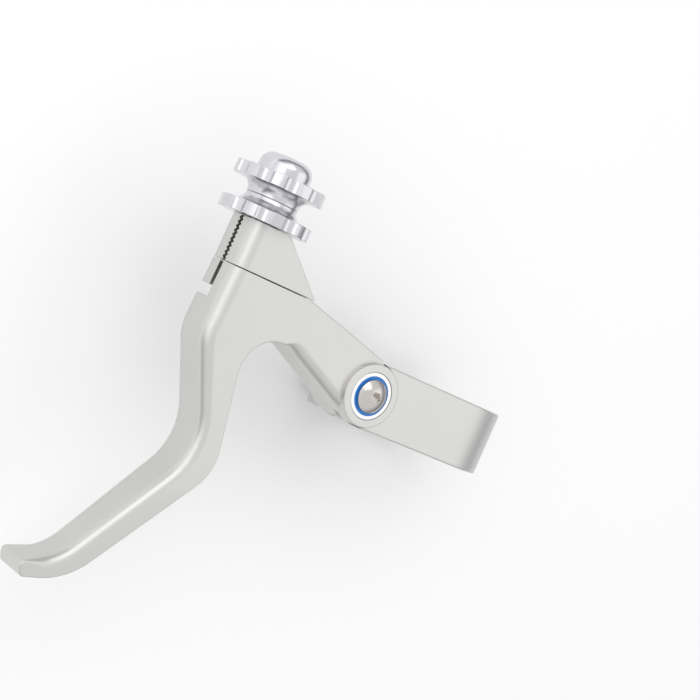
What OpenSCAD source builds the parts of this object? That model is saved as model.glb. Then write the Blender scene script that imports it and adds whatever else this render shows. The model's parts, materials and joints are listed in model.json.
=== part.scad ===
// Cross-top bicycle brake lever for the left hand, with a band clamp and a barrel adjuster.
// Origin: centre of the handlebar bore. +Y runs along the bar towards the blade's tip,
// +X points forward, away from the bar, and +Z is up, along the lever's pivot.

/* [Clamp] */
// Diameter of the handlebar that the band holds
bar_d = 31.8; // [31.6:0.1:32]
// Wall of the band around the bar
band_wall = 2.8; // [2.4:0.1:3.2]
// Width of the band along the bar
band_w = 15.6; // [14:0.2:16]
// Opening of the pinch slit
slit = 1.6; // [1.0:0.1:2.0]

/* [Lever] */
// Distance from the bar's centre to the pivot, forwards
pivot_x = 31.5; // [31:0.1:33]
// Thickness of the lever's head and arm
lever_t = 12; // [11.6:0.1:12.6]
// Thickness of the blade at its tip
tip_t = 9.6; // [8:0.1:11]
// Height of the boss around each bearing, above the arm
boss_h = 1; // [0.6:0.1:1.2]
// Thickness of the bracket's tongue inside the lever
tongue_t = 5; // [4.6:0.1:5.2]

/* [Cable] */
// Distance from the pivot to the cable's line, forwards
cable_reach = 41.3; // [41:0.1:41.8]
// Nominal diameter of the adjuster's thread
thread_d = 7; // [6:0.5:8]
// Diameter of the socket for the cable housing
housing_d = 5.2; // [5.1:0.1:5.6]
// Width of the slot that the inner cable is laid in through
cable_slot = 1.4; // [1.2:0.1:1.8]

/* [Adjuster wheels] */
// Diameter over the lobes of both wheels
wheel_d = 20.6; // [18:0.2:22]
// Number of lobes on each wheel
lobes = 10; // [8:1:12]
// Height of a wheel's rim
rim_h = 2.7; // [2:0.1:3]

/* [Pivot bearings] */
// Outer diameter of each bearing
bearing_d = 11; // [10.6:0.1:11.2]
// Width of each bearing
bearing_w = 4; // [3.8:0.1:4]
// Diameter of the pivot bolt's shank
shank_d = 5; // [4.8:0.1:5]
// Number of balls in each bearing
balls = 8; // [7:1:9]

/* [Hidden] */
$fn = 64;
eps = 0.01;

// Clamp
bar_r = bar_d / 2;
band_r = bar_r + band_wall;
lug_front = 24.4;
lug_bottom = -10.5;
slit_z = -6;
clamp_bolt_x = 20.2;
clamp_bolt_r = 2;
clamp_thread_top = 2;

// Levels along the pivot, counted from the lever's mid-plane
lever_z = band_r - 5.5;
half_t = lever_t / 2;
boss_top = half_t + boss_h;
fork_gap = tongue_t / 2 + 0.3;
bearing_in = tongue_t / 2 + 0.4;
bearing_out = bearing_in + bearing_w;
bearing_mid = (bearing_in + bearing_out) / 2;
block_low = -half_t - 1.8;

// Plan sizes around the pivot
boss_r = 7.5;
relief_r = 7.9;
web_r = 17.4;

// Adjuster and cable line
thread_r = thread_d / 2;
running = 0.05;
housing_r = housing_d / 2;
cable_r = 1.1;
head_y = -13.9;
head_gap = 0.25;
head_front = 46.6;
top_y = -24.5;
lug_y = -8.3;
notch_h = 2.5;
seat_depth = 3.5;
wheel_gap = 0.2;
neck_r = 5.9;
flare_r = 8.4;
neck_h = 5.1;
knob_z = 5.2;
knob_rim_z = 7.9;
dome_r = 6;
dome_h = 4.4;
stem_down = 9.6;
socket_depth = 5.5;
ferrule_wall = 0.4;
ferrule_floor = 0.6;
knob_slot = 1.6;
ring_slot = 3.2;
slot_turn = 215;

// Bearings
race_in_r = 3.35;
race_out_r = 4.65;
pitch_r = 4;
ball_r = 0.8;
seal_t = 0.3;
seal_set = 0.15;

// Fasteners
bolt_head_r = 3.9;
bolt_head_h = 1.9;
hex_socket = 2.5;
spacer_r = 3.3;
stop_x = 15;

// One corner of an outline as points on a fillet of radius r, or the corner itself where r is 0
function unit(v) = v / norm(v);
function corner(p, q, s, r, n = 8) =
    let (
        u = unit(p - q),
        v = unit(s - q),
        half = acos(u * v) / 2,
        reach = r / tan(half),
        centre = q + unit(u + v) * r / sin(half),
        start = q + u * reach - centre,
        stop = q + v * reach - centre,
        a = atan2(start.y, start.x),
        turn = (atan2(stop.y, stop.x) - a + 540) % 360 - 180
    )
    r == 0 ? [q] : [for (i = [0:n]) centre + r * [cos(a + turn * i / n), sin(a + turn * i / n)]];

// A closed outline from [x, y, radius] corners
function rounded(points) =
    let (n = len(points))
    [for (i = [0:n - 1])
        let (p = points[(i + n - 1) % n], q = points[i], s = points[(i + 1) % n])
        each corner([p.x, p.y], [q.x, q.y], [s.x, s.y], q[2])];

// Outline of the whole lever in plan, from the pivot: head, front, blade, tip, arch, arm, boss
lever_outline = rounded([
    [25, head_y, 0.6], [head_front, head_y, 0.8], [47.2, 2.1, 12], [35.7, 24.7, 14],
    [56.6, 55.7, 14], [65, 58.8, 1.2], [63.7, 62.1, 1.2], [53.1, 60.1, 16], [30.1, 28.3, 11],
    [38.6, -8.2, 7.8], [2.1, 7.2, 6], [-4.5, 5, 0], [-4.5, -4.5, 0], [0.3, -8.4, 2.5]
]);

// Outline of the bracket's tongue, from the pivot
tongue_outline = rounded([
    [-8.4, -7.6, 0], [0.5, -7.8, 3], [23.2, -13.4, 0], [24.7, head_y - 1, 0],
    [33.3, head_y - 1, 0], [33.3, -13.1, 1], [27.7, -9.4, 4], [15.5, -4.4, 1], [15.5, 0.7, 1],
    [5.2, 5.7, 1.5], [3.5, 7.4, 0], [-8.4, 7.4, 0]
]);

// Space inside the lever for the tongue
fork_outline = [
    [-9, -17], [34.1, -17], [34.1, -12.9], [28, -8.9], [14.7, -3.5], [0, 0], [-9, 9]
];

// Outline of the adjuster boss on the end of the bracket's arm
head_outline = rounded([
    [24.3, head_y - head_gap, 0], [37, top_y, 1], [head_front, top_y, 1.2],
    [head_front, head_y - head_gap, 0.4]
]);

// Underside pocket that the lower housing leaves the lever through
pocket_outline = [
    [cable_reach + 3, lug_y], [cable_reach + 3, -2], [34.7, 10], [28.7, 3], [35.2, -3.5],
    [cable_reach - 3, lug_y]
];

// Moves its children to the pivot, with z 0 at the lever's mid-plane
module at_pivot() {
    translate([pivot_x, 0, lever_z]) children();
}

// Puts a shape made along +Z onto the cable's line, pointing away from the blade from y
module on_cable_line(y) {
    translate([pivot_x + cable_reach, y, lever_z]) rotate([90, 0, 0]) children();
}

// A plan outline, with its thickness centred on the lever's mid-plane
module slab(outline, t) {
    linear_extrude(height = t, center = true) polygon(outline);
}

// The outline of the clamp's solid block, seen along the bar, above the slit and below it
module clamp_profile() {
    circle(r = band_r, $fn = 128);
    polygon([
        [0, slit_z], [lug_front - 1, slit_z], [lug_front - 1, lever_z + block_low],
        [pivot_x, lever_z + block_low], [pivot_x, band_r], [0, band_r]
    ]);
    polygon([[8, slit_z], [lug_front, slit_z], [lug_front, lug_bottom], [8, lug_bottom]]);
}

module bracket() {
    color("gainsboro") difference() {
        union() {
            rotate([90, 0, 0]) linear_extrude(height = band_w, center = true) clamp_profile();
            at_pivot() slab(tongue_outline, tongue_t);
            at_pivot() slab(head_outline, lever_t);
        }
        rotate([90, 0, 0]) cylinder(r = bar_r, h = band_w + 2, center = true, $fn = 128);
        translate([8, -band_w, slit_z - slit / 2]) cube([lug_front, 2 * band_w, slit]);
        bracket_lever_room();
        at_pivot() cylinder(d = shank_d, h = lever_t * 2, center = true);
        translate([clamp_bolt_x, 0, slit_z]) cylinder(r = clamp_bolt_r, h = clamp_thread_top - slit_z);
        translate([clamp_bolt_x, 0, slit_z - 8]) cylinder(r = clamp_bolt_r + 0.2, h = 8);
        on_cable_line(head_y + 2) cylinder(r = thread_r, h = 20);
        translate([pivot_x + cable_reach, top_y - 1, lever_z - cable_slot / 2])
            cube([20, -top_y, cable_slot]);
        at_pivot() translate([stop_x, -6.2, 0]) rotate([90, 0, 0]) cylinder(r = 1.5, h = 8);
    }
}

// Round recesses over and under the tongue, in which the lever's two cheeks turn
module bracket_lever_room() {
    at_pivot() for (side = [0, 1]) mirror([0, 0, side])
        translate([0, 0, tongue_t / 2]) cylinder(r = relief_r, h = lever_t);
}

module lever() {
    color("gainsboro") at_pivot() difference() {
        union() {
            slab(lever_outline, lever_t);
            cylinder(r = boss_r, h = 2 * boss_top, center = true);
        }
        blade_taper();
        slab(fork_outline, 2 * fork_gap);
        cylinder(r = web_r, h = 2 * fork_gap, center = true, $fn = 128);
        cylinder(d = bearing_d, h = 4 * boss_top, center = true);
        cable_way();
        translate([0, 0, -half_t - eps]) linear_extrude(height = half_t + housing_r + 0.4)
            polygon(pocket_outline);
    }
}

// Wedges taken off both faces of the blade, which thins towards its tip
module blade_taper() {
    slope = atan((lever_t - tip_t) / 2 / 30);
    for (side = [0, 1]) mirror([0, 0, side])
        translate([25, 34, half_t]) rotate([-slope, 0, 0]) translate([0, -5, 0]) cube([50, 45, 10]);
}

// Seat, cable hole, laying-in slot and notch in the lug at the lever's front corner
module cable_way() {
    translate([cable_reach, lug_y, 0]) rotate([90, 0, 0]) {
        translate([0, 0, -1]) cylinder(r = housing_r, h = seat_depth + 1);
        cylinder(r = cable_r, h = 20, $fn = 32);
    }
    translate([cable_reach, head_y - 1, -cable_slot / 2])
        cube([20, 1.5 - head_y + lug_y, cable_slot]);
    translate([cable_reach - 3, lug_y, -half_t - 1])
        cube([20, notch_h, half_t + 1 + cable_slot / 2]);
}

// A wheel's rim with scallops between its lobes, from z 0 up
module lobed_rim() {
    difference() {
        cylinder(d = wheel_d, h = rim_h, $fn = 96);
        for (i = [0:lobes - 1]) rotate([0, 0, (i + 0.5) * 360 / lobes])
            translate([wheel_d / 2 + 1.2, 0, -1]) cylinder(r = 2.3, h = rim_h + 2, $fn = 32);
    }
}

// A hollowed cone from flare_r at z 0 to neck_r at z h, as a quarter of an ellipse
function flare(h, n = 8) = [for (i = [0:n])
    [flare_r - (flare_r - neck_r) * sin(90 * i / n), h * (1 - cos(90 * i / n))]];

module flared_neck(h) {
    rotate_extrude($fn = 96) polygon(concat([[0, 0]], flare(h), [[0, h]]));
}

module lock_ring() {
    color("silver") on_cable_line(top_y - wheel_gap) difference() {
        union() {
            lobed_rim();
            translate([0, 0, rim_h]) flared_neck(neck_h - rim_h);
        }
        translate([0, 0, -1]) cylinder(r = thread_r, h = neck_h + 2);
        rotate([0, 0, slot_turn]) translate([0, -ring_slot / 2, -1])
            cube([wheel_d, ring_slot, neck_h + 2]);
    }
}

// The knob's rounded cap, from z 0 up
module dome() {
    rotate_extrude($fn = 96) polygon(concat(
        [[0, 0], [dome_r, 0]],
        [for (i = [0:10]) [
            dome_r - 2.4 + 2.4 * cos(9 * i) - 0.25 * i / 10, dome_h - 2.6 + 2.6 * sin(9 * i)
        ]],
        [[0, dome_h]]
    ));
}

module barrel_adjuster() {
    top_z = knob_rim_z + rim_h;
    color("silver") on_cable_line(top_y - wheel_gap) difference() {
        union() {
            translate([0, 0, -stem_down]) cylinder(r = thread_r - running, h = stem_down + top_z);
            translate([0, 0, knob_rim_z]) mirror([0, 0, 1]) flared_neck(knob_rim_z - knob_z);
            translate([0, 0, knob_rim_z]) rotate([0, 0, 18]) lobed_rim();
            translate([0, 0, top_z]) dome();
        }
        translate([0, 0, -stem_down - 1]) cylinder(r = cable_r, h = 40, $fn = 32);
        translate([0, 0, top_z + dome_h - socket_depth])
            cylinder(r = housing_r + ferrule_wall + running, h = socket_depth + 1);
        rotate([0, 0, slot_turn]) translate([0, -knob_slot / 2, -stem_down - 1])
            cube([wheel_d, knob_slot, 40]);
    }
}

// The sleeve that the knob turns round, with the cable housing's end in it
module housing_ferrule() {
    color("dimgray") on_cable_line(top_y - wheel_gap)
        translate([0, 0, knob_rim_z + rim_h + dome_h - socket_depth + running]) difference() {
            cylinder(r = housing_r + ferrule_wall, h = socket_depth - running);
            translate([0, 0, ferrule_floor]) cylinder(r = housing_r, h = socket_depth);
            translate([0, 0, -1]) cylinder(r = cable_r, h = socket_depth, $fn = 32);
        }
}

// A low domed head from z 0 up
module domed_head() {
    rise = bolt_head_h - 0.5;
    ball = (bolt_head_r * bolt_head_r + rise * rise) / (2 * rise);
    cylinder(r = bolt_head_r, h = 0.5);
    intersection() {
        translate([0, 0, bolt_head_h - ball]) sphere(r = ball, $fn = 96);
        translate([0, 0, 0.5 - eps]) cylinder(r = bolt_head_r, h = bolt_head_h);
    }
}

module hex_hole(depth, across = hex_socket) {
    translate([0, 0, -depth]) cylinder(d = across / cos(30), h = depth + 1, $fn = 6);
}

module pivot_bolt() {
    color("lightslategray") at_pivot() difference() {
        union() {
            translate([0, 0, bearing_out]) domed_head();
            translate([0, 0, -bearing_out - 1.2])
                cylinder(d = shank_d - 0.1, h = 2 * bearing_out + 1.2 + 0.1);
        }
        translate([0, 0, bearing_out + bolt_head_h]) hex_hole(1.6);
    }
}

module pivot_nut() {
    color("lightslategray") at_pivot() mirror([0, 0, 1]) difference() {
        translate([0, 0, bearing_out]) domed_head();
        translate([0, 0, bearing_out - 1]) cylinder(d = shank_d, h = 1 + 1.3);
    }
}

// A thin washer between one inner race and the tongue
module spacer(side) {
    color("lightsteelblue") at_pivot() mirror([0, 0, side]) translate([0, 0, tongue_t / 2])
        difference() {
            cylinder(r = spacer_r, h = bearing_in - tongue_t / 2);
            translate([0, 0, -1]) cylinder(d = shank_d, h = 3);
        }
}

module clamp_bolt() {
    color("slategray") translate([clamp_bolt_x, 0, lug_bottom - 0.8]) difference() {
        union() {
            translate([0, 0, -4]) cylinder(r = 3.5, h = 4);
            cylinder(r = clamp_bolt_r - 0.05, h = clamp_thread_top - lug_bottom + 0.3);
        }
        translate([0, 0, -4]) mirror([0, 0, 1]) hex_hole(2.2, 3);
    }
}

module clamp_washer() {
    color("lightsteelblue") translate([clamp_bolt_x, 0, lug_bottom - 0.8]) difference() {
        cylinder(r = 4, h = 0.8);
        translate([0, 0, -1]) cylinder(r = clamp_bolt_r + 0.1, h = 3);
    }
}

module travel_stop_screw() {
    color("lightslategray") at_pivot() translate([stop_x, -6.4, 0]) rotate([90, 0, 0]) difference() {
        cylinder(r = 1.45, h = 5.5, $fn = 48);
        translate([0, 0, 5.5]) hex_hole(1.2, 1.3);
    }
}

// The groove that a ring of balls runs in
module ball_track() {
    rotate_extrude() translate([pitch_r, 0]) circle(r = ball_r + 0.05, $fn = 32);
}

// Children at the middle of the upper bearing, or of the lower one where side is 1
module in_bearing(side) {
    at_pivot() mirror([0, 0, side]) translate([0, 0, bearing_mid]) children();
}

module inner_race(side) {
    color("silver") in_bearing(side) difference() {
        cylinder(r = race_in_r, h = bearing_w, center = true);
        cylinder(d = shank_d, h = bearing_w + 2, center = true);
        ball_track();
    }
}

module outer_race(side) {
    color("silver") in_bearing(side) difference() {
        cylinder(d = bearing_d, h = bearing_w, center = true);
        cylinder(r = race_out_r, h = bearing_w + 2, center = true);
        ball_track();
    }
}

module ball_ring(side) {
    color("white") in_bearing(side)
        for (i = [0:balls - 1]) rotate([0, 0, i * 360 / balls])
            translate([pitch_r, 0, 0]) sphere(r = ball_r, $fn = 32);
}

// A seal near one face of a bearing: out is 1 for the face away from the tongue, -1 for the other
module seal(side, out) {
    color("dodgerblue") in_bearing(side)
        translate([0, 0, out * (bearing_w / 2 - seal_set - seal_t / 2)]) difference() {
            cylinder(r = race_out_r, h = seal_t, center = true);
            cylinder(r = race_in_r + 0.07, h = 2, center = true);
        }
}

bracket();
lever();
lock_ring();
barrel_adjuster();
housing_ferrule();
pivot_bolt();
pivot_nut();
spacer(0);  // upper_spacer
spacer(1);  // lower_spacer
clamp_bolt();
clamp_washer();
travel_stop_screw();
inner_race(0);  // upper_inner_race
outer_race(0);  // upper_outer_race
ball_ring(0);  // upper_balls
seal(0, 1);  // upper_outer_seal
seal(0, -1);  // upper_inner_seal
inner_race(1);  // lower_inner_race
outer_race(1);  // lower_outer_race
ball_ring(1);  // lower_balls
seal(1, 1);  // lower_outer_seal
seal(1, -1);  // lower_inner_seal
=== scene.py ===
"""Looks for a cross-top brake lever: edges, threads, finishes, floor, lights and camera.

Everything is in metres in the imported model's frame: +X forward from the bar, +Y along the bar
towards the blade's tip, +Z up along the lever's pivot.
"""

import json
import math

import bmesh
import bpy
from mathutils import Matrix, Vector


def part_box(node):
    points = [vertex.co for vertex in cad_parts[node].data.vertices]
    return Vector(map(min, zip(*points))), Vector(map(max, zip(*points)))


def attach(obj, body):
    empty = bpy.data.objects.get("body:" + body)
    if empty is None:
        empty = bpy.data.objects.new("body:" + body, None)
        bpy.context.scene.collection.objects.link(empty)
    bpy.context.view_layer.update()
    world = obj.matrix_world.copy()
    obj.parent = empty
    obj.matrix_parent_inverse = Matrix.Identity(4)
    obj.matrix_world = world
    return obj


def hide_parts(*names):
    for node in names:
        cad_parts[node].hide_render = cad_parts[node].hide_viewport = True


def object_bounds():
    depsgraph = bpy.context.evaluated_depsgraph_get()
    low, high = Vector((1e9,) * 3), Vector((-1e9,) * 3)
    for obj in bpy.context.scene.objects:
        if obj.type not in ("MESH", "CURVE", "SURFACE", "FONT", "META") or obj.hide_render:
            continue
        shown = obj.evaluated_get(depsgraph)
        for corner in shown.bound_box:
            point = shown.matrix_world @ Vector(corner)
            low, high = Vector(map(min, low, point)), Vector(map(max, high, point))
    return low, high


MM = 0.001
UP = (0, 0, 1)
TO_HEAD = (0, -1, 0)
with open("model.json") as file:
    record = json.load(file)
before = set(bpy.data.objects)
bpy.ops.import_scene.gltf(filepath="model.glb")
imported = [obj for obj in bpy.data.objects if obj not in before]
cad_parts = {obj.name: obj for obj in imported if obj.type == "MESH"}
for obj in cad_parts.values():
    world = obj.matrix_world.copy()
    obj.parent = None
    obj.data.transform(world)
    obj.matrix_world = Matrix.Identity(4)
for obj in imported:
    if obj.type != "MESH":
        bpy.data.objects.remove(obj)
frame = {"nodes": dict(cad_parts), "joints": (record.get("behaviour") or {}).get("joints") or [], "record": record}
nodes = frame["nodes"]
cad_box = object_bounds()
joints = {j["name"]: j for j in frame["joints"]}
pivot = Vector(joints["lever_pivot"]["pos_m"])
cable = Vector(joints["adjuster_turn"]["pos_m"])
SLOT_OF = {s["node"]: s["material_slot"] for s in frame["record"]["subparts"]}


# ---------------------------------------------------------------- camera

VIEW_TILT = math.radians(38)   # between the line of sight and the pivot's axis
VIEW_ROLL = math.radians(24)
LENS = 91.5
DISTANCE = 400 * MM
AIM = (0.0121, -0.0261)        # the pivot bolt's slope right of and above the line of sight
BOSS_TOP = 7 * MM


def add_camera():
    """The photograph's view: from above and in front, turned about the line of sight."""
    back = Vector((math.sin(VIEW_TILT), 0, math.cos(VIEW_TILT)))
    across = Vector((-math.cos(VIEW_TILT), 0, math.sin(VIEW_TILT)))
    along = Vector((0, -1, 0))
    right = math.cos(VIEW_ROLL) * across + math.sin(VIEW_ROLL) * along
    up = -math.sin(VIEW_ROLL) * across + math.cos(VIEW_ROLL) * along
    ray = right * AIM[0] + up * AIM[1] - back
    eye = pivot + Vector((0, 0, BOSS_TOP)) - ray * DISTANCE
    data = bpy.data.cameras.new("camera")
    data.sensor_width = 36
    data.lens = LENS
    data.clip_start = 0.01
    camera = bpy.data.objects.new("camera", data)
    camera.matrix_world = Matrix.Translation(eye) @ Matrix((right, up, back)).transposed().to_4x4()
    bpy.context.scene.collection.objects.link(camera)
    bpy.context.scene.camera = camera


add_camera()


# ---------------------------------------------------------------- finishes

def metal(name, color, rough, rough_spread, grain, grain_depth, tint=0.04, rings=0.0, bevel=0.15):
    """Metal with fine grain, cloudy roughness and rounded edges; rings adds turning marks."""
    mat = bpy.data.materials.new(name)
    mat.use_nodes = True
    tree = mat.node_tree
    n, link = tree.nodes, tree.links.new
    shader = n["Principled BSDF"]
    shader.inputs["Metallic"].default_value = 1.0
    place = n.new("ShaderNodeTexCoord").outputs["Object"]

    cloud = n.new("ShaderNodeTexNoise")
    cloud.inputs["Scale"].default_value = 90
    cloud.inputs["Detail"].default_value = 4
    link(place, cloud.inputs["Vector"])
    fine = n.new("ShaderNodeTexNoise")
    fine.inputs["Scale"].default_value = grain
    fine.inputs["Detail"].default_value = 3
    link(place, fine.inputs["Vector"])

    shade = n.new("ShaderNodeMix")
    shade.data_type = "RGBA"
    shade.inputs["A"].default_value = (*[c * (1 - tint) for c in color], 1)
    shade.inputs["B"].default_value = (*[min(1, c * (1 + tint)) for c in color], 1)
    link(cloud.outputs["Fac"], shade.inputs["Factor"])
    link(shade.outputs["Result"], shader.inputs["Base Color"])

    spread = n.new("ShaderNodeMapRange")
    spread.inputs["From Min"].default_value = 0.3
    spread.inputs["From Max"].default_value = 0.7
    spread.inputs["To Min"].default_value = rough - rough_spread
    spread.inputs["To Max"].default_value = rough + rough_spread
    link(fine.outputs["Fac"], spread.inputs["Value"])
    link(spread.outputs["Result"], shader.inputs["Roughness"])

    edge = n.new("ShaderNodeBevel")
    edge.samples = 6
    edge.inputs["Radius"].default_value = bevel * MM
    bump = n.new("ShaderNodeBump")
    bump.inputs["Strength"].default_value = 0.35
    bump.inputs["Distance"].default_value = grain_depth * MM
    link(fine.outputs["Fac"], bump.inputs["Height"])
    link(edge.outputs["Normal"], bump.inputs["Normal"])
    last = bump
    if rings:
        wave = n.new("ShaderNodeTexWave")
        wave.wave_type = "BANDS"
        wave.bands_direction = "Y"
        wave.inputs["Scale"].default_value = rings
        wave.inputs["Distortion"].default_value = 0.4
        link(place, wave.inputs["Vector"])
        marks = n.new("ShaderNodeBump")
        marks.inputs["Strength"].default_value = 0.25
        marks.inputs["Distance"].default_value = 0.02 * MM
        link(wave.outputs["Fac"], marks.inputs["Height"])
        link(bump.outputs["Normal"], marks.inputs["Normal"])
        last = marks
    link(last.outputs["Normal"], shader.inputs["Normal"])
    return mat


def rubber(name, color):
    """Matt moulded rubber with a slight mottle."""
    mat = bpy.data.materials.new(name)
    mat.use_nodes = True
    tree = mat.node_tree
    shader = tree.nodes["Principled BSDF"]
    noise = tree.nodes.new("ShaderNodeTexNoise")
    noise.inputs["Scale"].default_value = 1500
    ramp = tree.nodes.new("ShaderNodeMix")
    ramp.data_type = "RGBA"
    ramp.inputs["A"].default_value = (*[c * 0.85 for c in color], 1)
    ramp.inputs["B"].default_value = (*[min(1, c * 1.15) for c in color], 1)
    tree.links.new(noise.outputs["Fac"], ramp.inputs["Factor"])
    tree.links.new(ramp.outputs["Result"], shader.inputs["Base Color"])
    bump = tree.nodes.new("ShaderNodeBump")
    bump.inputs["Strength"].default_value = 0.2
    bump.inputs["Distance"].default_value = 0.02 * MM
    tree.links.new(noise.outputs["Fac"], bump.inputs["Height"])
    tree.links.new(bump.outputs["Normal"], shader.inputs["Normal"])
    shader.inputs["Roughness"].default_value = 0.45
    return mat


FINISH = {
    "satin_aluminium": metal("satin_aluminium", (0.64, 0.635, 0.618), 0.4, 0.05, 5200, 0.03,
                             tint=0.025, bevel=0.2),
    "polished_aluminium": metal("polished_aluminium", (0.66, 0.66, 0.685), 0.18, 0.05, 2600, 0.01,
                                rings=900, bevel=0.25),
    "stainless_steel": metal("stainless_steel", (0.62, 0.59, 0.56), 0.18, 0.05, 2400, 0.01),
    "bearing_steel": metal("bearing_steel", (0.8, 0.8, 0.81), 0.16, 0.04, 3000, 0.005, bevel=0.1),
    "plated_ferrule": metal("plated_ferrule", (0.3, 0.3, 0.32), 0.35, 0.06, 2800, 0.01, bevel=0.1),
    "blue_seal": rubber("blue_seal", (0.015, 0.2, 0.62)),
}


# ---------------------------------------------------------------- shapes

def unit(v):
    return v / v.length


def corner(p, q, s, r, steps=8):
    """One corner of an outline as points on a fillet of radius r."""
    if r == 0:
        return [q]
    u, v = unit(p - q), unit(s - q)
    half = u.angle(v) / 2
    centre = q + unit(u + v) * (r / math.sin(half))
    start = q + u * (r / math.tan(half)) - centre
    stop = q + v * (r / math.tan(half)) - centre
    a = math.atan2(start.y, start.x)
    turn = (math.atan2(stop.y, stop.x) - a + 3 * math.pi) % (2 * math.pi) - math.pi
    return [centre + r * Vector((math.cos(a + turn * i / steps), math.sin(a + turn * i / steps)))
            for i in range(steps + 1)]


def rounded(points, longest=1.5):
    """A closed outline from (x, y, radius) corners, with its long sides cut into short ones."""
    flat = [Vector(p[:2]) for p in points]
    path = []
    for k, point in enumerate(points):
        path += corner(flat[k - 1], flat[k], flat[(k + 1) % len(points)], point[2])
    dense = []
    for a, b in zip(path, path[1:] + path[:1]):
        if (b - a).length < 1e-4:
            continue
        parts = max(1, math.ceil((b - a).length / longest))
        dense += [a.lerp(b, i / parts) for i in range(parts)]
    return dense


def inward(path):
    """How far each point of a counter-clockwise outline moves when the outline shrinks by 1."""
    moves = []
    for k, q in enumerate(path):
        d, e = unit(q - path[k - 1]), unit(path[(k + 1) % len(path)] - q)
        a, b = Vector((-d.y, d.x)), Vector((-e.y, e.x))
        moves.append((a + b) / max(0.4, 1 + a.dot(b)))
    return moves


def new_piece(name, bm):
    bmesh.ops.recalc_face_normals(bm, faces=bm.faces)
    mesh = bpy.data.meshes.new(name)
    bm.to_mesh(mesh)
    bm.free()
    piece = bpy.data.objects.new(name, mesh)
    bpy.context.scene.collection.objects.link(piece)
    return piece


def slab(name, path, low, high, width, place, top_drop=None, split=None, steps=4):
    """An outline given a thickness, with rounded rims.

    width(point, move) is the rim's rounding and top_drop(point) thins both faces. place turns
    (x, y, level) in mm into a point in the frame. split is the y of a bend across the caps.
    """
    moves = inward(path)
    bm = bmesh.new()
    rings = []
    levels = [(a, -1) for a in range(steps, -1, -1)] + [(a, 1) for a in range(steps + 1)]
    for a, side in levels:
        angle = math.pi / 2 * a / steps
        ring = []
        for q, move in zip(path, moves):
            w = width(q, move)
            drop = top_drop(q) if top_drop else 0
            face = high - drop if side > 0 else low + drop
            at = q + move * w * (1 - math.cos(angle))
            ring.append(bm.verts.new(place(at.x, at.y, face - side * w * (1 - math.sin(angle)))))
        rings.append(ring)
    count = len(path)
    for r, s in zip(rings, rings[1:]):
        for k in range(count):
            bm.faces.new((r[k], r[(k + 1) % count], s[(k + 1) % count], s[k]))
    for ring in (rings[0], rings[-1]):
        if split is None:
            bm.faces.new(ring)
            continue
        crossing = [k for k in range(count)
                    if (path[k].y - split) * (path[(k + 1) % count].y - split) <= 0]
        a, b = crossing[0], crossing[-1]
        bm.faces.new(ring[a:b + 1])
        bm.faces.new(ring[b:] + ring[:a + 1])
    return new_piece(name, bm)


def at_pivot(x, y, z):
    return pivot + Vector((x, y, z)) * MM


def along_bar(x, z, y):
    return Vector((x, y, z)) * MM


def round_bar(centre, axis, radius, low, high, sides=96):
    """A cylinder for cutting, in mm, along an axis from low to high past its centre."""
    bm = bmesh.new()
    bmesh.ops.create_cone(bm, cap_ends=True, segments=sides, radius1=radius * MM,
                          radius2=radius * MM, depth=(high - low) * MM)
    piece = new_piece("cutter", bm)
    turn = Vector(axis).to_track_quat("Z", "Y").to_matrix().to_4x4()
    piece.data.transform(Matrix.Translation(centre + Vector(axis) * (low + high) / 2 * MM) @ turn)
    return piece


def block(low, high):
    """A box for cutting, between two corners in mm from the pivot."""
    (x0, y0, z0), (x1, y1, z1) = low, high
    return prism([(x0, y0), (x1, y0), (x1, y1), (x0, y1)], z0, z1)


def prism(path, low, high):
    """A sharp-edged outline for cutting, in mm from the pivot."""
    bm = bmesh.new()
    bottom = [bm.verts.new(at_pivot(q[0], q[1], low)) for q in path]
    top = [bm.verts.new(at_pivot(q[0], q[1], high)) for q in path]
    bm.faces.new(bottom)
    bm.faces.new(top)
    for k in range(len(path)):
        bm.faces.new((bottom[k - 1], bottom[k], top[k], top[k - 1]))
    return new_piece("cutter", bm)


def carve(piece, tools, operation="DIFFERENCE"):
    """Cuts each tool from a piece, or joins it on, and removes the tools."""
    for tool in tools:
        cut = piece.modifiers.new("cut", "BOOLEAN")
        cut.operation = operation
        cut.solver = "EXACT"
        cut.object = tool
        bpy.context.view_layer.update()
        evaluated = piece.evaluated_get(bpy.context.evaluated_depsgraph_get())
        result = bpy.data.meshes.new_from_object(evaluated)
        piece.modifiers.clear()
        piece.data = result
        bpy.data.objects.remove(tool)


def smooth(piece, degrees=32):
    """Smooth shading, with edges sharper than this angle kept."""
    piece.data.name = piece.name
    piece.data.polygons.foreach_set("use_smooth", [True] * len(piece.data.polygons))
    piece.data.set_sharp_from_angle(angle=math.radians(degrees))
    even = piece.modifiers.new("even_shading", "WEIGHTED_NORMAL")
    even.weight = 100
    even.keep_sharp = True


def dress(piece, node_names, body, slot):
    """Gives a new piece its body, the CAD nodes it stands for and its finish."""
    piece.data.materials.clear()
    piece.data.materials.append(FINISH[slot])
    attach(piece, body)
    if node_names:
        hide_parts(*node_names)


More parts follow.
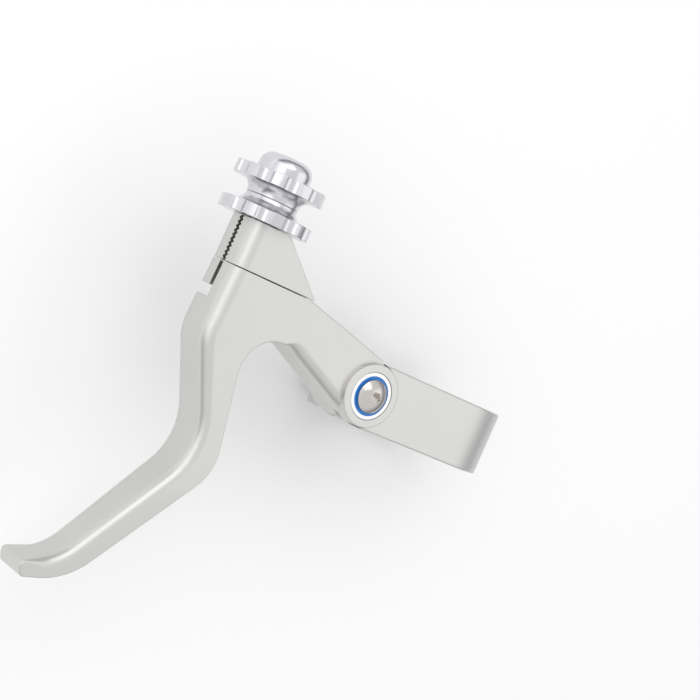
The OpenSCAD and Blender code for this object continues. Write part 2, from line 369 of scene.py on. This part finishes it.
# The part's own plan sizes, in mm from the pivot. The rounded fronts run past the flat cuts at the
# joint line and under the lock wheel, which are made afterwards.
JOINT_Y = -13.9
HEAD_TOP = -24.5
LEVER = [(34, -15.9, 0), (34, -20, 0), (46.6, -20, 0), (47.2, 2.1, 12), (35.7, 24.7, 14),
         (56.6, 55.7, 14), (65, 58.8, 1.2), (63.7, 62.1, 1.2), (53.1, 60.1, 16), (30.1, 28.3, 11),
         (38.6, -8.2, 7.8), (2.1, 7.2, 6), (-4.5, 5, 0), (-4.5, -4.5, 0), (0.3, -8.4, 2.5)]
TONGUE = [(-8.4, -7.6, 0), (0.5, -7.8, 3), (23.2, -13.4, 0), (24.7, -14.9, 0), (33.3, -14.9, 0),
          (33.3, -13.1, 1), (27.7, -9.4, 4), (15.5, -4.4, 1), (15.5, 0.7, 1), (5.2, 5.7, 1.5),
          (3.5, 7.4, 0), (-8.4, 7.4, 0)]
HEAD = [(19.2, -10, 0), (40.1, -27, 0), (40.1, -32, 0), (46.6, -32, 0), (46.6, -10, 0)]
FORK = [(-9, -17), (34.1, -17), (34.1, -12.9), (28, -8.9), (14.7, -3.5), (0, 0), (-9, 9)]
POCKET = [(44.3, -8.3), (44.3, -2), (34.7, 10), (28.7, 3), (35.2, -3.5), (38.3, -8.3)]
HALF = 6                # half the lever's thickness
BOSS = 7.5              # radius of the boss round the bearing
BEARING = 5.6           # radius of the hole for the bearings
REACH = 41.3            # from the pivot to the cable's line
LUG = -8.3              # face of the lug that holds the lower housing
SEAT = 3.5              # depth of the lower housing's seat
SEAT_RADIUS = 2.6
CABLE_RADIUS = 1.1
CABLE_HALF = 0.7        # half the width of the cable's slot
SMALL = 0.35            # rounding of the edges behind
HEAD_ROUND = 3.2
BLADE_ROUND = 2.3
TAPER_FROM = 34         # the blade thins from here to its tip
TAPER = 0.04
FORK_HALF = 2.8         # half the gap that the tongue stands in
WEB_ROOM = 17.4
APART = 0.03            # keeps two cutting faces from lying in one plane


def facing_front(move):
    """From 0 to 1 as a side of an outline turns to face forwards."""
    return min(1, max(0, (-move.x - 0.1) / 0.3))


def lever_width(q, move):
    """Wide along the front, where a finger pulls, and small elsewhere."""
    tip = min(1, max(0, (64 - q.x) / 5))
    wide = HEAD_ROUND + (BLADE_ROUND - HEAD_ROUND) * min(1, max(0, (q.y + 5) / 25))
    return SMALL + (wide - SMALL) * tip * facing_front(move)


def head_width(q, move):
    return SMALL + (HEAD_ROUND - SMALL) * facing_front(move)


def sawtooth_slot(start, stop, wide, narrow, pitch=1.0):
    """A slot for cutting whose walls show the teeth of the thread that it crosses."""
    rows = int((start - stop) / pitch * 2)
    ys = [start - pitch / 2 * k for k in range(rows + 1)]
    near = [(y, wide if k % 2 else narrow) for k, y in enumerate(ys)]
    far = [(y, -narrow if k % 2 else -wide) for k, y in enumerate(ys)]
    bm = bmesh.new()
    walls = [[bm.verts.new(at_pivot(x, y, z)) for y, z in near + far[::-1]]
             for x in (REACH, REACH + 20)]
    bm.faces.new(walls[0])
    bm.faces.new(walls[1])
    for k in range(len(walls[0])):
        bm.faces.new((walls[0][k - 1], walls[0][k], walls[1][k], walls[1][k - 1]))
    return new_piece("cutter", bm)


lever = slab("lever_body", rounded(LEVER), -HALF, HALF, lever_width, at_pivot,
             top_drop=lambda q: max(0, q.y - TAPER_FROM) * TAPER, split=TAPER_FROM)
boss_ring = [Vector((BOSS * math.cos(math.radians(3 * i)), BOSS * math.sin(math.radians(3 * i))))
             for i in range(120)]
boss = slab("boss", boss_ring, -HALF - 1, HALF + 1, lambda q, move: 0.3, at_pivot)
carve(lever, [boss], "UNION")
seat_centre = at_pivot(REACH, LUG, 0)
carve(lever, [
    prism(FORK, -FORK_HALF, FORK_HALF),
    # Known fault: this cut has no effect, so the web stays solid where the tongue should turn
    round_bar(pivot, UP, WEB_ROOM, -FORK_HALF + APART, FORK_HALF - APART, 128),
    block((20, -30, -9), (60, JOINT_Y, 9)),
    round_bar(pivot, UP, BEARING, -20, 20),
    round_bar(seat_centre, TO_HEAD, SEAT_RADIUS, -1, SEAT),
    round_bar(seat_centre, TO_HEAD, CABLE_RADIUS, -1, 20, 32),
    block((REACH, -15, -CABLE_HALF), (REACH + 20, LUG + 0.5, CABLE_HALF)),
    block((REACH - 3, LUG, -7), (REACH + 17, LUG + 2.5, CABLE_HALF)),
    prism(POCKET, -7, 3),
])
smooth(lever)
dress(lever, ["lever"], "lever", "satin_aluminium")

BAR_R = 15.9
BAND_R = 18.7
BAND_HALF = 7.8
FRONT = pivot.x / MM            # the band's flat top ends under the pivot
LUG_BOTTOM = -10.5
LUG_ANGLE = math.asin(LUG_BOTTOM / BAND_R) + 2 * math.pi
SLIT = -6
TONGUE_HALF = 2.5
CHEEK_ROOM = 7.9                # radius of the round recesses that the lever's cheeks turn in
THREAD_BORE = 3.5
STOP_HOLE = (15, -6.2, 0)       # inner end of the hole for the small screw
clamp_bolt_at = Vector((20.2 * MM, 0, 0))
arc = [math.pi / 2 + (LUG_ANGLE - math.pi / 2) * i / 90 for i in range(91)]
band_path = [Vector((FRONT, 5.4)), Vector((FRONT, BAND_R))]
band_path += [Vector((FRONT * (1 - i / 12), BAND_R)) for i in range(1, 12)]
band_path += [Vector((BAND_R * math.cos(a), BAND_R * math.sin(a))) for a in arc]
band_path += [Vector(c) for c in ((24.4, LUG_BOTTOM), (24.4, SLIT), (23.4, SLIT), (23.4, 5.4))]
bracket = slab("bracket_body", band_path, -BAND_HALF, BAND_HALF, lambda q, move: 0.45,
               along_bar)
carve(bracket, [
    round_bar(Vector(), (0, 1, 0), BAR_R, -10, 10, 144),
    round_bar(pivot, UP, CHEEK_ROOM, TONGUE_HALF, 14),
    round_bar(pivot, UP, CHEEK_ROOM, -14, -TONGUE_HALF),
])
carve(bracket, [block((8 - FRONT, -9, -20), (32 - FRONT, 9, -18.4))])
head = slab("head", rounded(HEAD), -HALF, HALF, head_width, at_pivot)
carve(head, [block((10, -14.15, -20), (60, 0, 20)), block((10, -40, -20), (60, HEAD_TOP, 20))])
carve(bracket, [
    slab("tongue", rounded(TONGUE), -TONGUE_HALF, TONGUE_HALF, lambda q, move: 0.15, at_pivot),
    head,
], "UNION")
carve(bracket, [
    round_bar(pivot, UP, 2.5, -12, 12, 64),
    round_bar(at_pivot(REACH, -11.9, 0), TO_HEAD, THREAD_BORE, 0, 20),
    sawtooth_slot(-13, -26, 0.95, 0.3),
    round_bar(at_pivot(*STOP_HOLE), TO_HEAD, 1.5, 0, 8, 48),
    round_bar(clamp_bolt_at, UP, 2, SLIT, 2, 48),
    round_bar(clamp_bolt_at, UP, 2.2, -14, SLIT, 48),
])
smooth(bracket)
dress(bracket, ["bracket"], "bracket", "satin_aluminium")


def tidy_copy(node, name):
    """A new piece with a node's own shape, its points joined and its stored normals and sharp marks removed."""
    bm = bmesh.new()
    bm.from_mesh(nodes[node].data)
    bmesh.ops.remove_doubles(bm, verts=bm.verts, dist=2e-6)
    piece = new_piece(name, bm)
    for attribute in ("custom_normal", "sharp_edge", "sharp_face"):
        if attribute in piece.data.attributes:
            piece.data.attributes.remove(piece.data.attributes[attribute])
    return piece


THREAD_PITCH = 1.0 * MM
THREAD_TOP = 3.42 * MM
THREAD_ROOT = 2.85 * MM


def thread_piece(start_y, length):
    """A helical ridge on the adjuster's stem."""
    steps = 48
    turns = length / THREAD_PITCH - 1
    bm = bmesh.new()
    rings = []
    for i in range(int(turns * steps) + 1):
        angle = 2 * math.pi * i / steps
        along = start_y + THREAD_PITCH * (0.5 + i / steps)
        fade = min(1, i / steps * 4, (turns * steps - i) / steps * 4)
        crest = THREAD_ROOT + (THREAD_TOP - THREAD_ROOT) * max(0.05, fade)
        ring = []
        for offset, radius in ((-0.48, THREAD_ROOT - 0.1 * MM), (-0.07, crest), (0.07, crest),
                               (0.48, THREAD_ROOT - 0.1 * MM)):
            ring.append(bm.verts.new((cable.x + radius * math.cos(angle),
                                      along + offset * THREAD_PITCH,
                                      cable.z + radius * math.sin(angle))))
        rings.append(ring)
    for r, s in zip(rings, rings[1:]):
        for k in range(4):
            bm.faces.new((r[k], r[(k + 1) % 4], s[(k + 1) % 4], s[k]))
    bm.faces.new(rings[0])
    bm.faces.new(rings[-1])
    return new_piece("adjuster_thread", bm)


knob_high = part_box("barrel_adjuster")[1]
adjuster = tidy_copy("barrel_adjuster", "adjuster_knob")
ring_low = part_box("lock_ring")[0]
# The stem is drawn at the thread's root, and the ridge stands on it
for v in adjuster.data.vertices:
    reach = math.hypot(v.co.x - cable.x, v.co.z - cable.z)
    if v.co.y > ring_low.y - 0.01 * MM and 3.2 * MM < reach < 3.6 * MM:
        shrink = THREAD_ROOT / reach
        v.co.x = cable.x + (v.co.x - cable.x) * shrink
        v.co.z = cable.z + (v.co.z - cable.z) * shrink
smooth(adjuster)
dress(adjuster, ["barrel_adjuster"], "adjuster", "polished_aluminium")
thread = thread_piece(ring_low.y, knob_high.y - ring_low.y)
dress(thread, [], "adjuster", "polished_aluminium")

ring = tidy_copy("lock_ring", "lock_wheel")
smooth(ring)
dress(ring, ["lock_ring"], "lock_ring", "polished_aluminium")

# Every CAD node gets its finish, so the ones with no new piece show it
for name, node in nodes.items():
    node.data.materials.clear()
    node.data.materials.append(FINISH[SLOT_OF[name]])


# ---------------------------------------------------------------- floor and lights

def add_floor():
    """A pale floor just under the clamp."""
    mesh = bpy.data.meshes.new("floor")
    z = cad_box[0][2] - 0.2 * MM
    size = 1.6
    mesh.from_pydata([(-size, -size, z), (size, -size, z), (size, size, z), (-size, size, z)], [],
                     [(0, 1, 2, 3)])
    floor = bpy.data.objects.new("floor", mesh)
    bpy.context.scene.collection.objects.link(floor)
    mat = bpy.data.materials.new("floor")
    mat.use_nodes = True
    shader = mat.node_tree.nodes["Principled BSDF"]
    shader.inputs["Base Color"].default_value = (0.97, 0.97, 0.97, 1)
    shader.inputs["Roughness"].default_value = 0.9
    mesh.materials.append(mat)


def add_light(name, at, size, power):
    """A square soft light aimed at the lever's middle."""
    data = bpy.data.lights.new(name, "AREA")
    data.size = size
    data.energy = power
    light = bpy.data.objects.new(name, data)
    light.location = at
    aim = Vector((0.055, 0, 0.01)) - light.location
    light.rotation_euler = aim.to_track_quat("-Z", "Y").to_euler()
    bpy.context.scene.collection.objects.link(light)


def add_world(strength):
    """White overhead, with a grey band round the horizon for polished metal to reflect."""
    world = bpy.data.worlds.new("studio")
    bpy.context.scene.world = world
    world.use_nodes = True
    tree = world.node_tree
    place = tree.nodes.new("ShaderNodeTexCoord")
    split = tree.nodes.new("ShaderNodeSeparateXYZ")
    ramp = tree.nodes.new("ShaderNodeValToRGB")
    ramp.color_ramp.elements[0].position = 0.12
    ramp.color_ramp.elements[0].color = (0.32, 0.33, 0.36, 1)
    ramp.color_ramp.elements[1].position = 0.5
    ramp.color_ramp.elements[1].color = (1, 1, 1, 1)
    tree.links.new(place.outputs["Generated"], split.inputs["Vector"])
    tree.links.new(split.outputs["Z"], ramp.inputs["Fac"])
    tree.links.new(ramp.outputs["Color"], tree.nodes["Background"].inputs["Color"])
    tree.nodes["Background"].inputs["Strength"].default_value = strength


add_floor()
add_world(0.9)
add_light("key", (0.25, -0.45, 0.6), 0.5, 0.7)
add_light("fill", (0.5, -0.1, 0.22), 0.6, 0.75)
add_light("back", (-0.4, -0.1, 0.5), 0.5, 0.3)
bpy.context.scene.view_settings.view_transform = "Standard"
